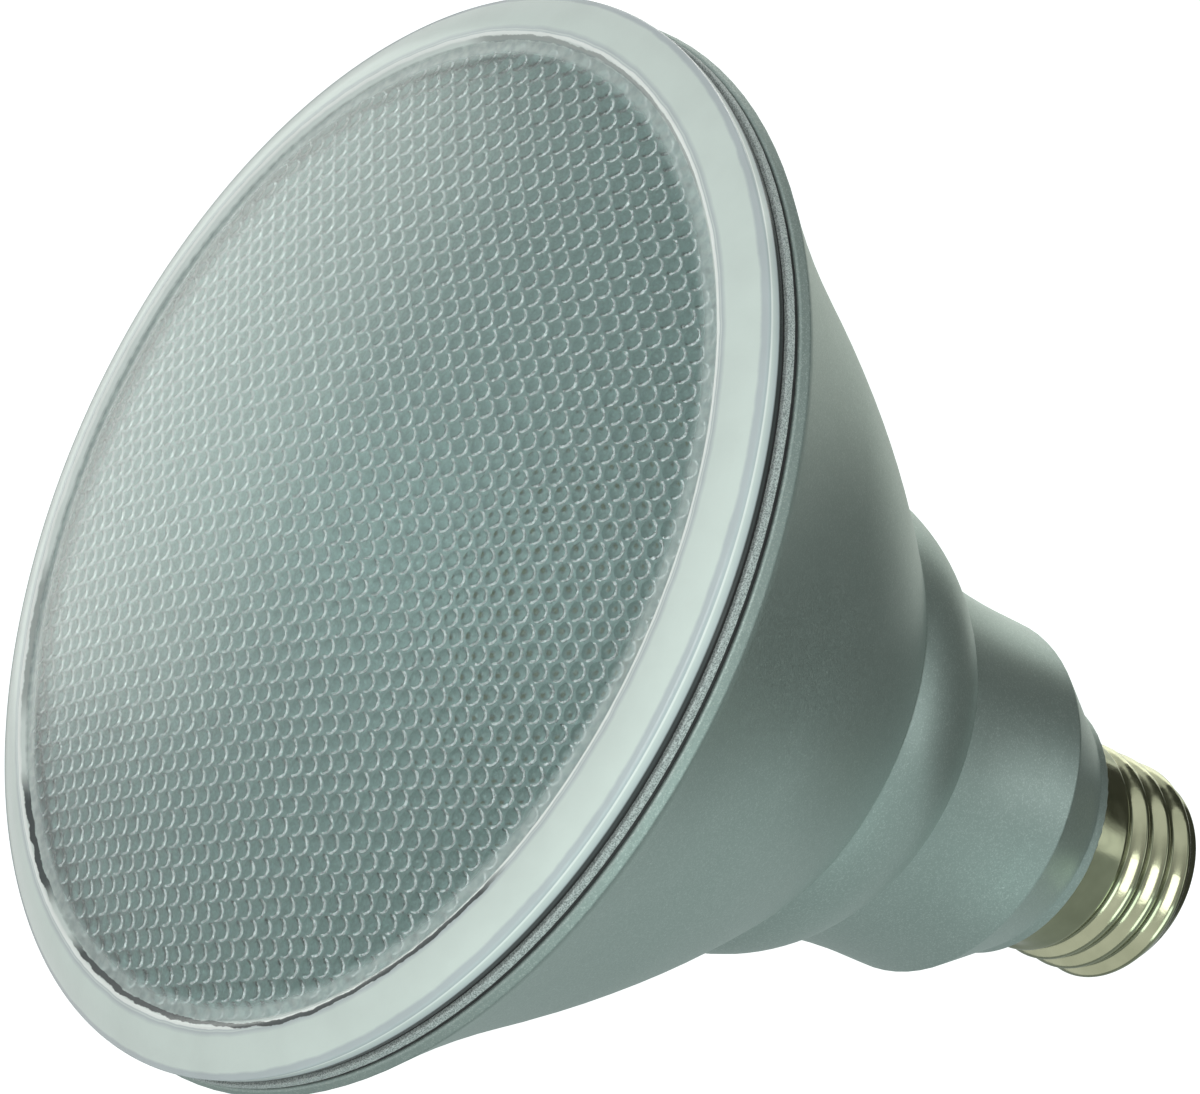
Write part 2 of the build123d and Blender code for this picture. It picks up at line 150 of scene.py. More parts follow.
thread_sizes = {
    "Top": 25.65 * mm,
    "Curl Start": 7.65 * mm,
    "Curl": 2.0 * mm,
    "Crest Radius": 13.2 * mm,
    "Depth": 1.0 * mm,
    "Pitch": 3.629 * mm,
    "Turn Offset": 0.051,
    "Run Out": 1.403,
    "Straight Share": 0.88,
    "Columns": 217,
    "Rows": 161,
}
tree, given, end = rule_tree("knuckle_thread", thread_sizes)
grid = add(
    tree,
    "GeometryNodeMeshGrid",
    {"Size X": 1.0, "Size Y": 1.0, "Vertices X": given["Columns"], "Vertices Y": given["Rows"]},
)
flat = add(tree, "ShaderNodeSeparateXYZ", {0: add(tree, "GeometryNodeInputPosition").outputs[0]})
around = sums(tree, "ADD", flat.outputs[0], 0.5)
along = sums(tree, "SUBTRACT", 0.5, flat.outputs[1])
angle = sums(tree, "MULTIPLY", around, 2 * math.pi)
straight = sums(tree, "MINIMUM", sums(tree, "DIVIDE", along, given["Straight Share"]), 1.0)
past = sums(tree, "SUBTRACT", along, given["Straight Share"])
rest = sums(tree, "SUBTRACT", 1.0, given["Straight Share"])
curled = sums(tree, "MAXIMUM", sums(tree, "DIVIDE", past, rest), 0.0)
bend = sums(tree, "MULTIPLY", curled, math.pi / 2)
drop = sums(tree, "MULTIPLY", sums(tree, "SUBTRACT", given["Top"], given["Curl Start"]), straight)
drop = sums(tree, "ADD", drop, sums(tree, "MULTIPLY", given["Curl"], sums(tree, "SINE", bend)))
turns = sums(tree, "ADD", sums(tree, "DIVIDE", drop, given["Pitch"]), around)
turns = sums(tree, "SUBTRACT", turns, given["Turn Offset"])
wave = sums(tree, "COSINE", sums(tree, "MULTIPLY", turns, 2 * math.pi))
wave = sums(tree, "MULTIPLY_ADD", wave, 0.5, 0.5)
helix = sums(tree, "SUBTRACT", sums(tree, "ROUND", turns), around)
started = sums(tree, "SUBTRACT", helix, given["Run Out"])
run_out_turns = 0.12
fade = add(tree, "ShaderNodeMapRange", {"Value": started, 2: run_out_turns}, interpolation_type="SMOOTHSTEP")
groove = sums(tree, "MULTIPLY", wave, fade.outputs[0])
groove = sums(tree, "MULTIPLY", groove, sums(tree, "SUBTRACT", 1.0, curled))
inward = sums(tree, "MULTIPLY", given["Curl"], sums(tree, "SUBTRACT", 1.0, sums(tree, "COSINE", bend)))
radius = sums(tree, "SUBTRACT", given["Crest Radius"], sums(tree, "MULTIPLY", groove, given["Depth"]))
radius = sums(tree, "SUBTRACT", radius, inward)
place = add(
    tree,
    "ShaderNodeCombineXYZ",
    {
        0: sums(tree, "MULTIPLY", radius, sums(tree, "COSINE", angle)),
        1: sums(tree, "MULTIPLY", radius, sums(tree, "SINE", angle)),
        2: sums(tree, "SUBTRACT", given["Top"], drop),
    },
)
rolled = add(tree, "GeometryNodeSetPosition", {"Geometry": grid.outputs[0], "Position": place.outputs[0]})
closed = add(tree, "GeometryNodeMergeByDistance", {"Geometry": rolled.outputs[0], "Distance": 0.005 * mm})
smooth = add(tree, "GeometryNodeSetShadeSmooth", {"Geometry": closed.outputs[0]})
plated = add(tree, "GeometryNodeSetMaterial", {"Geometry": smooth.outputs[0], "Material": nickel})
tree.links.new(plated.outputs[0], end.inputs[0])
shell_wall = 0.4 * mm
shell_mesh = made_by(tree, thread_sizes, wall=shell_wall)
piece("threaded_shell", shell_mesh, "shell_nickel", "screw_shell")


# Insulator and contact
# A plug of black pressed glass in the shell's mouth, with a tinned brass button at its middle.
# The contact's stem goes up through the plug to the fuse resistor.
def matter(name, dark, light, roughness, metallic=0.0, grain=600.0, relief=0.00002):
    """A plain material whose colour drifts between two shades over a fine relief."""
    made, tree, surface = material(name)
    drift = spread(tree, noise(tree, grain, 3.0), 0.32, 0.68)
    tree.links.new(blend(tree, drift, dark, light), surface.inputs["Base Color"])
    rough = spread(tree, noise(tree, grain * 2.3), 0.3, 0.7, roughness - 0.05, roughness + 0.05)
    tree.links.new(rough, surface.inputs["Roughness"])
    surface.inputs["Metallic"].default_value = metallic
    bump(tree, surface, noise(tree, grain * 3.1), relief)
    return made


def coat(made, *nodes):
    """Gives CAD nodes a material."""
    for node in nodes:
        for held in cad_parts[node].material_slots:
            held.material = made


coat(matter("black_glass", (0.012, 0.012, 0.014), (0.022, 0.022, 0.024), 0.16), "base_insulator")
coat(matter("tinned_brass", (0.48, 0.43, 0.31), (0.66, 0.62, 0.50), 0.3, 1.0), "centre_contact")


# Housing
# One aluminium casting, from the spigot in the shell to the lip under the reflector's flange.
# It is sprayed with a satin grey-green metallic paint of fine bright grain, rougher at the lip, where its
# colour is darkened as painted shade.
flakes_a_metre = 8000.0
lip_start = 119.0 * mm
lip_full = 120.2 * mm
lip_painted_shade_level = 0.72
lip_extra_roughness = 0.2
paint, tree, surface = material("metallic_paint")
drift = spread(tree, noise(tree, 90.0, 4.0), 0.3, 0.7)
tint = blend(tree, drift, (0.36, 0.45, 0.42), (0.38, 0.47, 0.44))
own_place = add(tree, "ShaderNodeTexCoord").outputs["Object"]
flake = add(tree, "ShaderNodeTexVoronoi", {"Vector": own_place, "Scale": flakes_a_metre})
sparkle = add(tree, "ShaderNodeSeparateColor", {0: flake.outputs["Color"]})
bright = spread(tree, sparkle.outputs[0], 0.7, 1.0, 0.0, 0.45)
tint = blend(tree, bright, tint, (0.66, 0.76, 0.72))
height = add(tree, "ShaderNodeSeparateXYZ", {0: own_place}).outputs["Z"]
at_lip = spread(tree, height, lip_start, lip_full)
# Painted shade: the paint's colour darkens towards the lip.
painted_lip_shade = spread(tree, at_lip, 0.0, 1.0, 1.0, lip_painted_shade_level)
tint = add(tree, "ShaderNodeVectorMath", {0: tint, 1: painted_lip_shade}, operation="MULTIPLY").outputs[0]
tree.links.new(tint, surface.inputs["Base Color"])
surface.inputs["Metallic"].default_value = 0.92
rough = spread(tree, sparkle.outputs[1], 0.0, 1.0, 0.34, 0.46)
rough = sums(tree, "ADD", rough, sums(tree, "MULTIPLY", at_lip, lip_extra_roughness))
tree.links.new(rough, surface.inputs["Roughness"])
bump(tree, surface, noise(tree, flakes_a_metre, 1.0), 0.008 * mm)
coat(paint, "housing")


# Driver
# A white moulded cup in the neck with a green board that stands across it.
# The board's parts are soldered to its two faces; the wires run to the base and to the light source.
coat(matter("cup_plastic", (0.72, 0.72, 0.69), (0.8, 0.8, 0.77), 0.5), "driver_cup")
coat(matter("board_laminate", (0.02, 0.11, 0.05), (0.035, 0.16, 0.08), 0.4), "driver_board")
coat(matter("ferrite", (0.055, 0.055, 0.058), (0.09, 0.088, 0.086), 0.62), "transformer_core", "choke")
coat(matter("copper_winding", (0.5, 0.2, 0.08), (0.68, 0.3, 0.13), 0.32, 0.9), "transformer_winding")
coat(matter("can_film", (0.02, 0.035, 0.09), (0.035, 0.055, 0.13), 0.35), "smoothing_capacitor")
coat(matter("film_case", (0.5, 0.33, 0.03), (0.62, 0.42, 0.05), 0.45), "filter_capacitor")
chip_resin = matter("chip_resin", (0.016, 0.016, 0.017), (0.03, 0.03, 0.032), 0.5)
coat(chip_resin, "bridge_rectifier", "control_chip")
coat(matter("wire_sleeving", (0.55, 0.5, 0.42), (0.68, 0.64, 0.55), 0.55), "led_wires")
coat(matter("tinned_wire", (0.5, 0.5, 0.48), (0.66, 0.66, 0.63), 0.28, 1.0), "line_wire", "neutral_wire")
coat(matter("fuse_enamel", (0.3, 0.21, 0.13), (0.4, 0.29, 0.19), 0.45), "fuse_resistor")


# Light source
# A chip array on a white substrate, clamped by a white ring to an aluminium plate over a grey pad.
# Steel screws hold the ring to the plate, and the plate to the housing's bosses.
coat(matter("plate_aluminium", (0.62, 0.63, 0.64), (0.74, 0.75, 0.76), 0.38, 1.0, 900.0), "heat_sink")
zinc_steel = matter("zinc_steel", (0.45, 0.46, 0.47), (0.6, 0.61, 0.62), 0.3, 1.0)
coat(zinc_steel, "heat_sink_screws", "holder_screws")
coat(matter("heat_pad", (0.2, 0.21, 0.22), (0.28, 0.29, 0.3), 0.8), "thermal_pad")
coat(matter("white_substrate", (0.42, 0.42, 0.4), (0.5, 0.5, 0.48), 0.45), "led_substrate")
coat(matter("phosphor_gel", (0.3, 0.29, 0.2), (0.36, 0.35, 0.26), 0.35), "led_phosphor")
coat(matter("holder_resin", (0.34, 0.35, 0.34), (0.42, 0.43, 0.42), 0.5), "led_holder")


# Reflector
# A parabola spun from aluminium sheet; its flange lies on the housing's lip and shows as a silver band.
# The inside is dull, with painted light making it brighter towards its mouth; the flange's cut edge is rough
# and grainy.
painted_light_start = 25 * mm
painted_light_full = 55 * mm
cut_edge_start = 57.6 * mm
cut_edge_full = 57.8 * mm
silver, tree, surface = material("dull_silver")
drift = spread(tree, noise(tree, 500.0, 1.0), 0.3, 0.7)
tint = blend(tree, drift, (0.55, 0.61, 0.6), (0.66, 0.72, 0.71))
own_place = add(tree, "ShaderNodeTexCoord").outputs["Object"]
flat_place = add(tree, "ShaderNodeVectorMath", {0: own_place, 1: (1, 1, 0)}, operation="MULTIPLY").outputs[0]
from_axis = add(tree, "ShaderNodeVectorMath", {0: flat_place}, operation="LENGTH").outputs["Value"]
# Painted light: the colour brightens from the axis out towards the mouth.
painted_light_outward = spread(tree, from_axis, painted_light_start, painted_light_full, 0.0, 0.75)
tint = blend(tree, painted_light_outward, tint, (0.82, 0.9, 0.88))
on_edge = spread(tree, from_axis, cut_edge_start, cut_edge_full)
grains = spread(tree, noise(tree, 7000.0, 0.0), 0.3, 0.7)
tint = blend(tree, on_edge, tint, blend(tree, grains, (0.2, 0.235, 0.228), (0.5, 0.565, 0.55)))
tree.links.new(tint, surface.inputs["Base Color"])
tree.links.new(spread(tree, on_edge, 0.0, 1.0, 1.0, 0.3), surface.inputs["Metallic"])
tree.links.new(spread(tree, on_edge, 0.0, 1.0, 0.55, 0.75), surface.inputs["Roughness"])
coat(silver, "reflector")


# Gaskets
# Two thin black rings, between the reflector's flange and the lens skirt and between the flange and the lip.
# They stand a little back from the edge and show as black lines.
coat(matter("black_rubber", (0.006, 0.007, 0.007), (0.014, 0.015, 0.015), 0.6), "lens_gasket", "lip_seal")


# Lens
# One moulding of clear, faintly green glass: a smooth dome with round lenslets on its back, with painted
# shade on the flat ground between them.
# A raised milky band runs round it, with painted highlights and painted shade along its edges, a worn dark
# line in the groove, and its skirt stands on the gasket.
glass_index = 1.49
glass_relief = 0.012 * mm


def ramp(tree, value, stops, unit=mm):
    """A colour looked up along a value, from (place, colour) stops with their places in a unit."""
    low = stops[0][0]
    high = stops[-1][0]
    node = add(tree, "ShaderNodeValToRGB", {0: spread(tree, value, low * unit, high * unit)})
    elements = node.color_ramp.elements
    elements.remove(elements[1])
    for place, colour in stops:
        held = elements[0] if place == low else elements.new((place - low) / (high - low))
        held.color = (*colour, 1)
    return node.outputs[0]


def grey(level):
    """A grey of a level from 0 to 1."""
    return level, level, level


clear, tree, surface = material("green_glass")
speckle = spread(tree, noise(tree, 3600.0, 2.0), 0.34, 0.66)
tint = blend(tree, speckle, (0.53, 0.65, 0.635), (0.72, 0.87, 0.85))
# Painted shade: the flat ground between the lenslets is tinted darker.
painted_gap_shade = add(tree, "ShaderNodeAttribute", attribute_name="painted_gap_shade").outputs["Fac"]
tint = blend(tree, sums(tree, "MULTIPLY", painted_gap_shade, 0.5), tint, (0.30, 0.40, 0.39))
tree.links.new(tint, surface.inputs["Base Color"])
surface.inputs["Transmission Weight"].default_value = 1.0
surface.inputs["IOR"].default_value = glass_index
surface.inputs["Roughness"].default_value = 0.0
bump(tree, surface, speckle, glass_relief)

milky_glass, tree, surface = material("milky_glass")
own_place = add(tree, "ShaderNodeTexCoord").outputs["Object"]
part = add(tree, "ShaderNodeSeparateXYZ", {0: own_place}).outputs
square = sums(tree, "MULTIPLY", part[1], part[1])
from_axis = sums(tree, "SQRT", sums(tree, "MULTIPLY_ADD", part[0], part[0], square))
height = part[2]
tint = (0.6, 0.75, 0.735)
slope = (0.62, 0.7, 0.67)
milk = (0.62, 0.72, 0.675)
# Painted highlight: a pale line along the band's inner bevel and near the top of its side.
painted_edge_highlight = (0.81, 0.87, 0.84)
# Painted shade: grey along the band's rounded outer edge and above the joint; the same grey draws thin lines
# at its inner steps.
grey_lines_and_edge_shade = (0.45, 0.52, 0.53)
joint_black = (0.04, 0.047, 0.047)
# Bands across the rim by radius: the band's own tones, with painted highlight and painted shade along its
# edges.
rim_bands = [
    (52.5, slope),
    (54.9, slope),
    (55.05, painted_edge_highlight),
    (55.35, painted_edge_highlight),
    (55.47, grey_lines_and_edge_shade),
    (55.6, slope),
    (55.73, grey_lines_and_edge_shade),
    (56.25, milk),
    (59.5, milk),
    (59.75, grey_lines_and_edge_shade),
    (60.4, grey_lines_and_edge_shade),
]
# Bands down the rim's side by height: a dark joint, then the side's tone, a painted highlight and painted
# shade at the rounded edge.
side_bands = [
    (124.05, joint_black),
    (124.3, grey_lines_and_edge_shade),
    (125.2, slope),
    (125.4, painted_edge_highlight),
    (125.55, painted_edge_highlight),
    (125.7, grey_lines_and_edge_shade),
]
band_wander = 0.35 * mm
wavy = sums(tree, "SUBTRACT", noise(tree, 350.0, 5.0), 0.5)
wavy = sums(tree, "MULTIPLY_ADD", wavy, band_wander, from_axis)
band = ramp(tree, wavy, rim_bands)
below_edge = spread(tree, height, 125.75 * mm, 125.6 * mm)
on_side = sums(tree, "MULTIPLY", below_edge, spread(tree, from_axis, 59.5 * mm, 59.6 * mm))
band = blend(tree, on_side, band, ramp(tree, height, side_bands))
streak = spread(tree, noise(tree, 150.0, 4.0), 0.25, 0.6, 1.09, 1.16)
band = add(tree, "ShaderNodeVectorMath", {0: band, 1: streak}, operation="MULTIPLY").outputs[0]
milk_shares = [
    (52.2, grey(0)),
    (53.3, grey(0.55)),
    (54.3, grey(0.55)),
    (54.6, grey(1)),
    (60.4, grey(1)),
]
milky = ramp(tree, from_axis, milk_shares)
above_back = spread(tree, height, 126.3 * mm, 126.8 * mm)
front = sums(tree, "MAXIMUM", above_back, spread(tree, from_axis, 54.6 * mm, 55.0 * mm))
frost = spread(tree, noise(tree, 800.0, 3.0), 0.36, 0.62, 0.75, 1.0)
frost = sums(tree, "MAXIMUM", frost, spread(tree, from_axis, 54.3 * mm, 54.6 * mm))
milky = sums(tree, "MULTIPLY", sums(tree, "MULTIPLY", milky, front), frost)
angle = sums(tree, "ARCTAN2", part[1], part[0])
start_turn = 60.0
turned = sums(tree, "MULTIPLY_ADD", angle, 180 / math.pi, start_turn)
turned = sums(tree, "FLOORED_MODULO", turned, 360.0)
worn_arcs = [
    (22, 80, 0.5),
    (170, 192, 0.5),
    (198, 220, 1.0),
    (225, 306, 1.0),
]
arc_fade = 4
worn = []
for first, last, depth in worn_arcs:
    worn += [(first, grey(0)), (first + arc_fade, grey(depth))]
    worn += [(last - arc_fade, grey(depth)), (last, grey(0))]
strength = ramp(tree, turned, worn, 1.0)
outward = ramp(tree, turned, [(258, grey(0)), (270, grey(1))], 1.0)
line_wander = 0.9 * mm
line_step = 0.72 * mm
ragged = sums(tree, "SUBTRACT", noise(tree, 420.0, 5.0), 0.5)
ragged = sums(tree, "MULTIPLY_ADD", ragged, line_wander, from_axis)
ragged = sums(tree, "MULTIPLY_ADD", outward, -line_step, ragged)
line_inner = spread(tree, ragged, 54.4 * mm, 54.47 * mm)
line = sums(tree, "MULTIPLY", line_inner, spread(tree, ragged, 55.0 * mm, 54.92 * mm))
line = sums(tree, "MULTIPLY", line, strength)
line = sums(tree, "MULTIPLY", line, spread(tree, height, 127.0 * mm, 127.2 * mm))
band = blend(tree, line, band, (0.045, 0.06, 0.06))
milky = sums(tree, "MAXIMUM", milky, line)
tree.links.new(blend(tree, milky, tint, band), surface.inputs["Base Color"])
tree.links.new(spread(tree, milky, 0.0, 1.0, 1.0, 0.1), surface.inputs["Transmission Weight"])
surface.inputs["IOR"].default_value = glass_index
tree.links.new(spread(tree, milky, 0.0, 1.0, 0.1, 0.2), surface.inputs["Roughness"])
bump(tree, surface, noise(tree, 2300.0, 2.0), glass_relief)

dome_radius = 53.8 * mm
dome_rise = 6.0 * mm
groove_z = 127.4 * mm
thickness = 2.6 * mm
dome_sphere = (dome_radius ** 2 + dome_rise ** 2) / (2 * dome_rise)
apex_z = groove_z + dome_rise
back_sphere = dome_sphere - thickness
back_apex_z = apex_z - thickness
field_radius = 55.5 * mm
pitch = 2.345 * mm
sides = 12


def back_height(x, y):
    """The height of the dome's back over a point."""
    return back_apex_z - back_sphere + math.sqrt(back_sphere ** 2 - x * x - y * y)


cell = bmesh.new()
# This layer marks the flat ground between lenslets, where shade is painted.
painted_gap_shade = cell.verts.layers.float.new("painted_gap_shade")
lenslet_radius = 1.06 * mm
lenslet_rise = 0.56 * mm
cap_sphere = (lenslet_radius ** 2 + lenslet_rise ** 2) / (2 * lenslet_rise)
rings = []
for share in (0.45, 0.8, 1.0):
    ring_radius = lenslet_radius * share
    sag = cap_sphere - math.sqrt(cap_sphere ** 2 - ring_radius ** 2)
    corners = [math.radians(360 / sides * step) for step in range(sides)]
    rings.append(
        [
            cell.verts.new((ring_radius * math.cos(a), ring_radius * math.sin(a), sag - lenslet_rise))
            for a in corners
        ]
    )
corner_radius = pitch / math.sqrt(3)
edge = []
for step in range(sides):
    reach = pitch / 2 if step % 2 == 0 else corner_radius
    turn = math.radians(360 / sides * step)
    edge.append(cell.verts.new((reach * math.cos(turn), reach * math.sin(turn), 0)))
    edge[-1][painted_gap_shade] = 1.0
rings.append(edge)
tip = cell.verts.new((0, 0, -lenslet_rise))
for step in range(sides):
    after = (step + 1) % sides
    cell.faces.new((tip, rings[0][after], rings[0][step]))
    for inner, outer in zip(rings, rings[1:]):
        cell.faces.new((inner[step], inner[after], outer[after], outer[step]))
cell_mesh = bpy.data.meshes.new("lenslet")
cell.to_mesh(cell_mesh)
cell.free()
cell_object = bpy.data.objects.new("lenslet", cell_mesh)
bpy.context.scene.collection.objects.link(cell_object)

field_values = {
    "Lenslet": cell_object,
    "Pitch": pitch,
    "Field Radius": field_radius - 1.05 * corner_radius,
    "Row Angle": math.radians(-8.2),
    "Back Sphere": back_sphere,
    "Back Apex": back_apex_z,
    "Rows": 61,
}
tree, given, end = rule_tree("lenslet_field", field_values)
reach = sums(tree, "SUBTRACT", given["Rows"], 1.0)
row_gap = sums(tree, "MULTIPLY", given["Pitch"], math.sqrt(3) / 2)
grid = add(
    tree,
    "GeometryNodeMeshGrid",
    {
        "Size X": sums(tree, "MULTIPLY", reach, given["Pitch"]),
        "Size Y": sums(tree, "MULTIPLY", reach, row_gap),
        "Vertices X": given["Rows"],
        "Vertices Y": given["Rows"],
    },
)
spot = add(tree, "ShaderNodeSeparateXYZ", {0: add(tree, "GeometryNodeInputPosition").outputs[0]})
row = sums(tree, "ROUND", sums(tree, "DIVIDE", spot.outputs[1], row_gap))
odd = sums(tree, "FLOORED_MODULO", row, 2.0)
shift = sums(tree, "MULTIPLY", sums(tree, "MULTIPLY", odd, given["Pitch"]), 0.5)
offset = add(tree, "ShaderNodeCombineXYZ", {0: shift})
staggered = add(tree, "GeometryNodeSetPosition", {"Geometry": grid.outputs[0], "Offset": offset.outputs[0]})
length = add(
    tree, "ShaderNodeVectorMath", {0: add(tree, "GeometryNodeInputPosition").outputs[0]}, operation="LENGTH"
)
outside = sums(tree, "GREATER_THAN", length.outputs["Value"], given["Field Radius"])
kept = add(tree, "GeometryNodeDeleteGeometry", {"Geometry": staggered.outputs[0], "Selection": outside})
source = add(tree, "GeometryNodeObjectInfo", {"Object": given["Lenslet"]})
laid = add(
    tree,
    "GeometryNodeInstanceOnPoints",
    {"Points": kept.outputs[0], "Instance": source.outputs["Geometry"]},
)
swing = add(tree, "ShaderNodeCombineXYZ", {2: given["Row Angle"]})
turned = add(tree, "GeometryNodeTransform", {"Geometry": laid.outputs[0], "Rotation": swing.outputs[0]})
real = add(tree, "GeometryNodeRealizeInstances", {"Geometry": turned.outputs[0]})
joined = add(tree, "GeometryNodeMergeByDistance", {"Geometry": real.outputs[0], "Distance": 0.01 * mm})
spot = add(tree, "ShaderNodeSeparateXYZ", {0: add(tree, "GeometryNodeInputPosition").outputs[0]})
square = sums(tree, "MULTIPLY", spot.outputs[0], spot.outputs[0])
square = sums(tree, "MULTIPLY_ADD", spot.outputs[1], spot.outputs[1], square)
fall = sums(tree, "SQRT", sums(tree, "SUBTRACT", sums(tree, "POWER", given["Back Sphere"], 2.0), square))
height = sums(tree, "ADD", sums(tree, "SUBTRACT", given["Back Apex"], given["Back Sphere"]), fall)
lift = add(tree, "ShaderNodeCombineXYZ", {2: height})
domed = add(tree, "GeometryNodeSetPosition", {"Geometry": joined.outputs[0], "Offset": lift.outputs[0]})
glazed = add(tree, "GeometryNodeSetMaterial", {"Geometry": domed.outputs[0], "Material": clear})
tree.links.new(glazed.outputs[0], end.inputs[0])
field_mesh = made_by(tree, field_values)
bpy.data.objects.remove(cell_object)

glass = bmesh.new()
glass.from_mesh(field_mesh)
field_edge = [e for e in glass.edges if e.is_boundary]
skirt_radius = 57.4 * mm
skirt_z = 123.55 * mm
back_edge_z = back_height(field_radius, 0)
profile = [(field_radius, back_edge_z), (skirt_radius, back_edge_z), (skirt_radius, skirt_z)]
profile += [(59.7 * mm, skirt_z), (60.05 * mm, 125.2 * mm), (60.2 * mm, 125.72 * mm)]
profile += [(60.235 * mm, 125.9 * mm), (60.2 * mm, 126.05 * mm), (60.08 * mm, 126.17 * mm)]
band_start = Vector((60.3, 126.0))
band_end = Vector((55.0, 128.0))
chord = band_end - band_start
band_bulge = 0.4
band_steps = 10
bulge = Vector((chord.y, -chord.x)).normalized() * band_bulge
for step in range(1, band_steps + 1):
    share = 0.06 + 0.9 * step / band_steps
    point = band_start + chord * share + bulge * 4 * share * (1 - share)
    profile.append((point.x * mm, point.y * mm))
profile += [(55.0 * mm, 127.9 * mm), (54.4 * mm, groove_z), (dome_radius, groove_z)]
clear_radius = 52.2 * mm
profile.append((clear_radius, apex_z - dome_sphere + math.sqrt(dome_sphere ** 2 - clear_radius ** 2)))
dome_steps = 18
for step in range(1, dome_steps):
    tilt = math.asin(dome_radius / dome_sphere) * (1 - step / dome_steps)
    profile.append((dome_sphere * math.sin(tilt), apex_z - dome_sphere * (1 - math.cos(tilt))))
around = 288
rounds = []
for radius, height in profile:
    turns = [2 * math.pi * step / around for step in range(around)]
    rounds.append([glass.verts.new((radius * math.cos(a), radius * math.sin(a), height)) for a in turns])
inner_edge = []
milky_faces = set()
for step in range(around):
    after = (step + 1) % around
    inner_edge.append(glass.edges.new((rounds[0][step], rounds[0][after])))
    for low, high, (radius, height) in zip(rounds, rounds[1:], profile[1:]):
        face = glass.faces.new((low[step], low[after], high[after], high[step]))
        if radius >= clear_radius:
            milky_faces.add(face)
apex = glass.verts.new((0, 0, apex_z))
for step in range(around):
    glass.faces.new((rounds[-1][step], rounds[-1][(step + 1) % around], apex))
bmesh.ops.triangle_fill(glass, edges=field_edge + inner_edge, use_beauty=True)
bmesh.ops.recalc_face_normals(glass, faces=glass.faces)
for face in glass.faces:
    face.smooth = True
    face.material_index = 1 if face in milky_faces else 0
crease = math.radians(32)
for edge in glass.edges:
    if len(edge.link_faces) == 2 and edge.calc_face_angle() > crease:
        edge.smooth = False
lens_mesh = bpy.data.meshes.new("dimpled_lens")
glass.to_mesh(lens_mesh)
glass.free()
lens_mesh.materials.append(clear)
lens_mesh.materials.append(milky_glass)
piece("dimpled_lens", lens_mesh, "lens_clear", "lens")


# Floor and cards
# A pale floor well below the lamp, and two dark cards at the right and above that only mirrors see.
# They are part of the studio and not of the lamp. Right, up and back are the photo's own directions.
right = Vector((0.43003, -0.53879, -0.72442))
up = Vector((0.90281, 0.25664, 0.34506))
back = Vector((0.0, -0.80240, 0.59679))
middle = Vector((0, 0, 70 * mm))


def sheet(name, corners, made):
    """A flat sheet of the studio."""
    mesh = bpy.data.meshes.new(name)
    mesh.from_pydata([tuple(c) for c in corners], [], [range(len(corners))])
    mesh.materials.append(made)
    laid = bpy.data.objects.new(name, mesh)
    bpy.context.scene.collection.objects.link(laid)
    return laid


pale, tree, surface = material("pale_floor")
drift = spread(tree, noise(tree, 6.0), 0.3, 0.7)
tree.links.new(blend(tree, drift, (0.61, 0.67, 0.665), (0.64, 0.7, 0.695)), surface.inputs["Base Color"])
surface.inputs["Roughness"].default_value = 0.9
surface.inputs["Specular IOR Level"].default_value = 0.0
seen = add(tree, "ShaderNodeLightPath").outputs["Is Camera Ray"]
surface.inputs["Emission Color"].default_value = (1, 1, 1, 1)
tree.links.new(sums(tree, "MULTIPLY", seen, 0.8), surface.inputs["Emission Strength"])
floor_z = -0.8
floor_half = 4
floor_signs = ((-1, -1), (1, -1), (1, 1), (-1, 1))
sheet("floor", [(x * floor_half, y * floor_half, floor_z) for x, y in floor_signs], pale)

dark = matter("dark_card", (0.05, 0.05, 0.04), (0.07, 0.07, 0.06), 0.9, 0.0, 20.0)
card_distance = 0.5
card_centre = Vector((0, 0, 30 * mm))
card_rows = [
    ("dark_card", ((0, -15), (14, -22), (68, -22), (47, 30), (-5, 32))),
    ("dark_ceiling", ((-5, 32), (47, 30), (55, 74), (-55, 74))),
]
for name, spots in card_rows:
    corners = []
    for turn, lift in spots:
        aside = right * math.cos(math.radians(turn)) - back * math.sin(math.radians(turn))
        towards = aside * math.cos(math.radians(lift)) + up * math.sin(math.radians(lift))
        corners.append(card_centre + towards * card_distance)
    card = sheet(name, corners, dark)
    card.visible_camera = False
    card.visible_diffuse = False
    card.visible_transmission = False
    card.visible_shadow = False


# Light
# Seven large soft boxes around the lamp, the strongest in front and below.
# The sky is white to the camera and to mirrors, half as bright to matt surfaces, and dark through glass.
box_distance = 0.85


def soft_box(name, towards, size, level, colour):
    """A square soft box in the photo's own directions, as bright as level."""
    lamp = bpy.data.lights.new(name, "AREA")
    lamp.size = size
    lamp.color = colour
    lamp.energy = level * math.pi * size ** 2
    box = bpy.data.objects.new(name, lamp)
    bpy.context.scene.collection.objects.link(box)
    direction = (right * towards[0] + up * towards[1] + back * towards[2]).normalized()
    box.location = middle + direction * box_distance
    box.rotation_euler = direction.to_track_quat("Z", "Y").to_euler()
    box.visible_camera = False


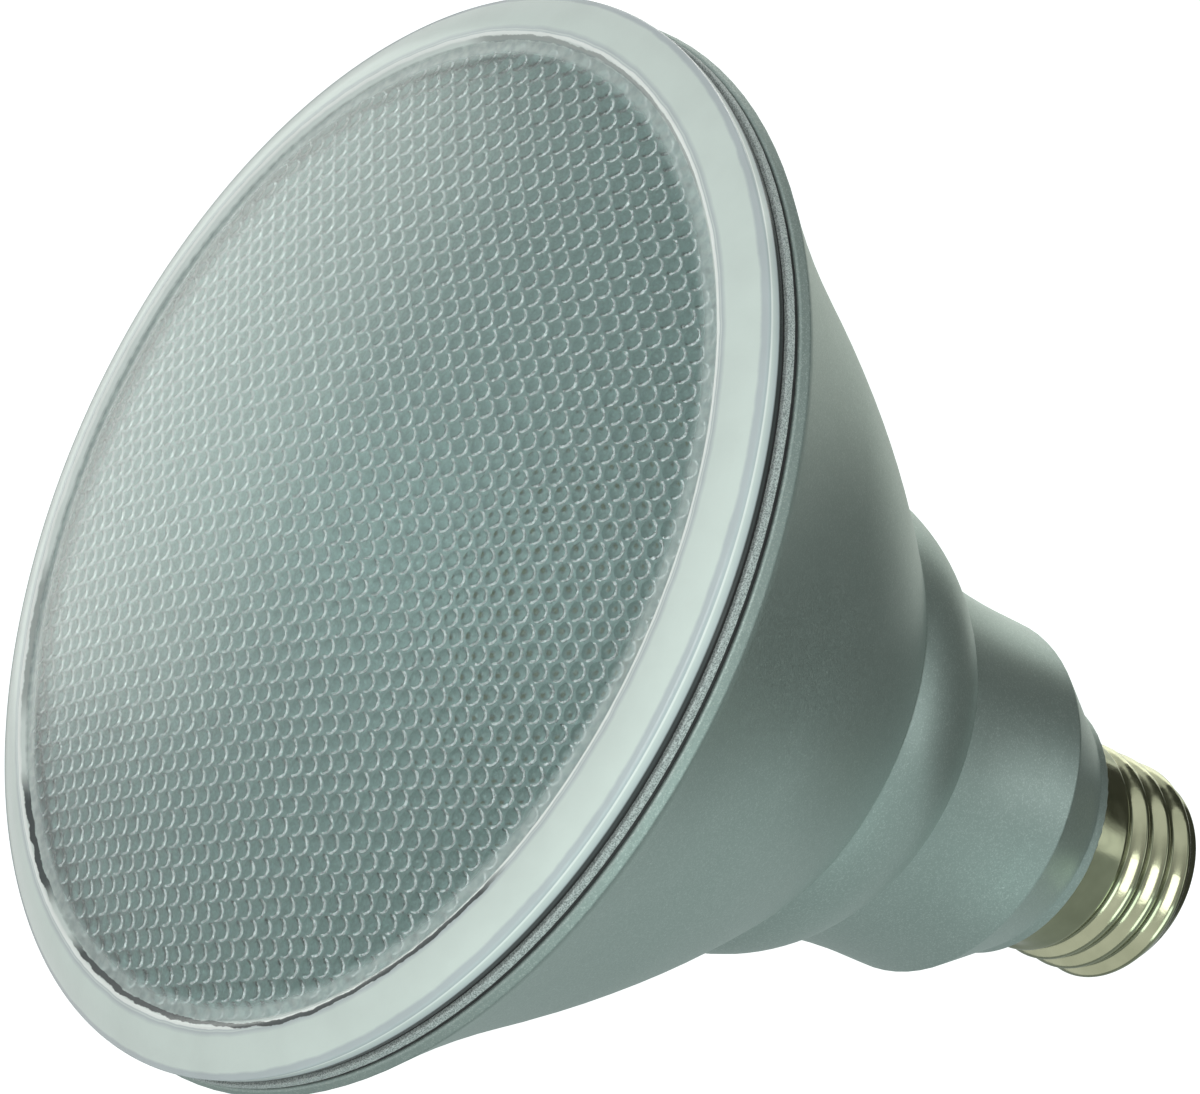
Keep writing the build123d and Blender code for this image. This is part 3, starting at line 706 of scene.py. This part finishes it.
soft_box("front_box", (0.0, 0.03, 1.0), 0.5, 3.6, (1, 1, 0.98))
soft_box("low_box", (0.42, -0.63, 0.62), 0.5, 2.6, (0.82, 1, 0.96))
soft_box("right_box", (1.0, -0.02, 0.0), 0.45, 0.8, (1, 1, 1))
soft_box("back_box", (0.3, 0.22, -0.93), 0.5, 0.42, (1, 0.98, 0.82))
soft_box("top_back_box", (0.3, 0.8, -0.8), 0.5, 1.8, (1, 0.96, 0.93))
soft_box("top_right_box", (0.7, 0.6, -0.5), 0.5, 1.1, (1, 1, 0.9))
soft_box("left_back_box", (-0.73, 0.4, -0.55), 0.45, 1.3, (0.92, 1, 0.93))

world = bpy.data.worlds.new("sky")
bpy.context.scene.world = world
world.use_nodes = True
tree = world.node_tree
path = add(tree, "ShaderNodeLightPath").outputs
direction = add(tree, "ShaderNodeTexCoord").outputs["Generated"]
# Mirrors see the sky dimmer at the front right.
front_right = right * 0.45 + back * 0.89
ahead = add(tree, "ShaderNodeVectorMath", {0: direction, 1: front_right}, operation="DOT_PRODUCT")
dimmed = spread(tree, ahead.outputs["Value"], 0.75, 0.95, 1.0, 0.5)
mirrored = sums(tree, "MULTIPLY", path["Is Glossy Ray"], dimmed)
plain = sums(tree, "MAXIMUM", path["Is Camera Ray"], mirrored)
sky = tree.nodes["Background"]
sky.inputs["Color"].default_value = (1, 1, 1, 1)
half = sums(tree, "MULTIPLY", path["Is Diffuse Ray"], 0.5)
tree.links.new(sums(tree, "MAXIMUM", plain, half), sky.inputs["Strength"])


# Camera
# A long lens from above the lens side, rolled as in the photo.
camera_place = Vector((8.697 * mm, -426.699 * mm, 413.810 * mm))
camera_pitch = math.radians(90 - 36.640)
camera_roll = math.radians(-64.530)
view = bpy.data.cameras.new("camera")
view.lens = 147.40
view.sensor_width = 36
view.clip_start = 0.01
camera = bpy.data.objects.new("camera", view)
bpy.context.scene.collection.objects.link(camera)
camera.matrix_world = (
    Matrix.Translation(camera_place)
    @ Matrix.Rotation(camera_pitch, 4, "X")
    @ Matrix.Rotation(camera_roll, 4, "Z")
)
bpy.context.scene.camera = camera
bpy.context.scene.view_settings.view_transform = "Standard"


# Update
# The view layer is brought up to date.
bpy.context.view_layer.update()
